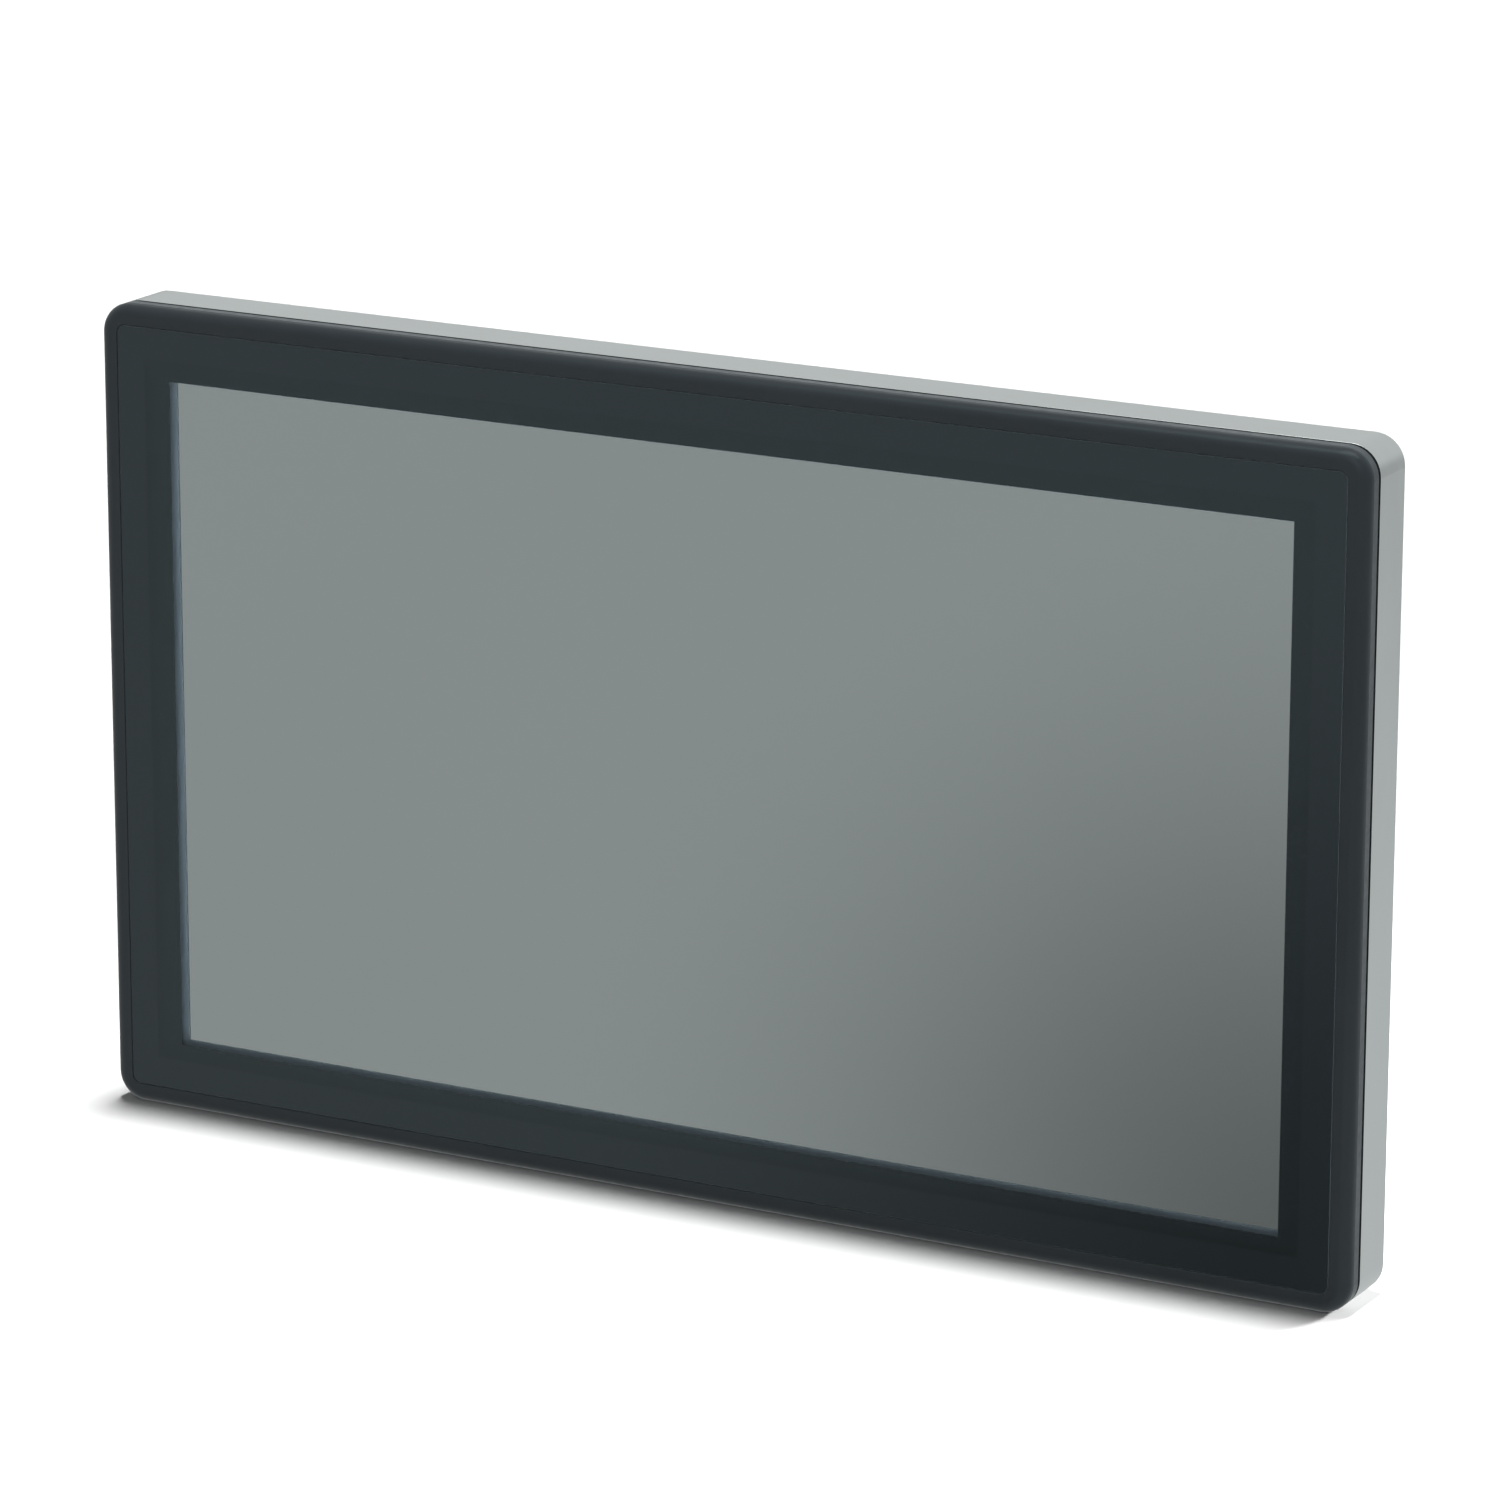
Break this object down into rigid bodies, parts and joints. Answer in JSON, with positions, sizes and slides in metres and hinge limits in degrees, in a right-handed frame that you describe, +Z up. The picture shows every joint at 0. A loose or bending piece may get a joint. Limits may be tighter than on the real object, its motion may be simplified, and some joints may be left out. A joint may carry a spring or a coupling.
{
  "type": "hmi touch panel",
  "caption": "Flush-glass industrial touch panel with a metal rear housing, electronics box, connector edge and bracket plate.",
  "frame": {"origin": "centre of the bottom edge, halfway through the depth", "axes": "+X right across the screen, +Z up, screen faces -Y"},
  "size_m": [0.389, 0.056, 0.235],
  "materials": {
    "black_frame": "fine matte moulded texture",
    "black_casting": "matte black powder coat",
    "black_ink": "screen-printed black on the back of the glass",
    "cover_glass": "polished, clear",
    "sensor_film": "clear film",
    "foam": "closed-cell black foam",
    "lcd_frame": "satin blue-grey coated steel",
    "lcd_face": "grey-green unlit display",
    "white_film": "diffusing white film",
    "acrylic": "clear moulded acrylic",
    "sheet_steel": "zinc-plated sheet",
    "circuit_board": "green solder mask",
    "flat_cable": "amber flexible film",
    "seal_rubber": "black silicone rubber",
    "housing_metal": "satin aluminium",
    "cover_paint": "light grey powder coat",
    "plate_aluminium": "machined aluminium",
    "heat_sink_metal": "extruded aluminium",
    "screw_steel": "zinc-plated steel",
    "nickel": "nickel plate",
    "spring_steel": "bright spring wire",
    "stud_brass": "bright brass",
    "chip_plastic": "moulded epoxy",
    "thermal_pad": "soft grey-blue silicone",
    "socket_plastic": "black moulded nylon",
    "inlet_plastic": "green moulded nylon",
    "switch_plastic": "black moulded nylon",
    "button_plastic": "red moulded cap",
    "vent_plastic": "black moulded nylon"
  },
  "bodies": {
    "panel": {"backup_battery": "nickel", "bezel_screws": "screw_steel", "board_screws": "screw_steel", "bracket_screws": "screw_steel", "card_slot": "nickel", "cover_gasket": "seal_rubber", "cover_glass": "cover_glass", "cover_screws": "screw_steel", "display_cable": "flat_cable", "earth_nut": "stud_brass", "earth_stud": "stud_brass", "ethernet_ports": "socket_plastic", "flap_hinge_pin": "nickel", "front_bezel": "black_frame", "glass_tape": "foam", "heat_block": "heat_sink_metal", "heat_sinks": "heat_sink_metal", "housing_gasket": "seal_rubber", "housing_screws": "screw_steel", "io_plate": "sheet_steel", "lcd_brackets": "sheet_steel", "lcd_cell": "lcd_face", "lcd_driver_board": "circuit_board", "lcd_front_frame": "lcd_frame", "lcd_gasket": "foam", "lcd_tray": "sheet_steel", "led_strip": "circuit_board", "light_guide": "acrylic", "main_board": "circuit_board", "memory_module": "circuit_board", "mid_frame": "black_casting", "optical_films": "white_film", "plate_rivets": "nickel", "power_board": "circuit_board", "power_inlet": "inlet_plastic", "power_switch_body": "switch_plastic", "printed_border": "black_ink", "processor": "chip_plastic", "rear_cover": "cover_paint", "rear_housing": "housing_metal", "reflector_sheet": "white_film", "reset_spring": "spring_steel", "reset_switch": "switch_plastic", "serial_port": "nickel", "serial_posts": "nickel", "sink_screws": "screw_steel", "standoffs": "nickel", "thermal_pad": "thermal_pad", "touch_board": "circuit_board", "touch_sensor": "sensor_film", "touch_tail": "flat_cable", "usb_ports": "nickel", "usb_tongues": "socket_plastic", "vent_plug": "vent_plastic", "vesa_inserts": "nickel", "vesa_plate": "plate_aluminium"},
    "flap": {"service_flap": "cover_paint", "flap_seal": "seal_rubber"},
    "rocker": {"power_rocker": "switch_plastic"},
    "button": {"reset_button": "button_plastic"}
  },
  "joints": [
    {"name": "flap_hinge", "type": "hinge", "parent": "panel", "child": "flap", "pos_m": [-0.1322, 0.0013, 0.14925], "axis": [0, 0, 1], "range_deg": [0, 95]},
    {"name": "rocker_tilt", "type": "hinge", "parent": "panel", "child": "rocker", "pos_m": [0.062, 0.0106, 0.0347], "axis": [0, 1, 0], "range_deg": [0, 18]},
    {"name": "reset_press", "type": "slide", "parent": "panel", "child": "button", "axis": [0, 0, 1], "range_m": [0, 0.0012], "stiffness_N_per_m": 600, "springref_m": -0.001, "deforming": ["reset_spring"]}
  ]
}
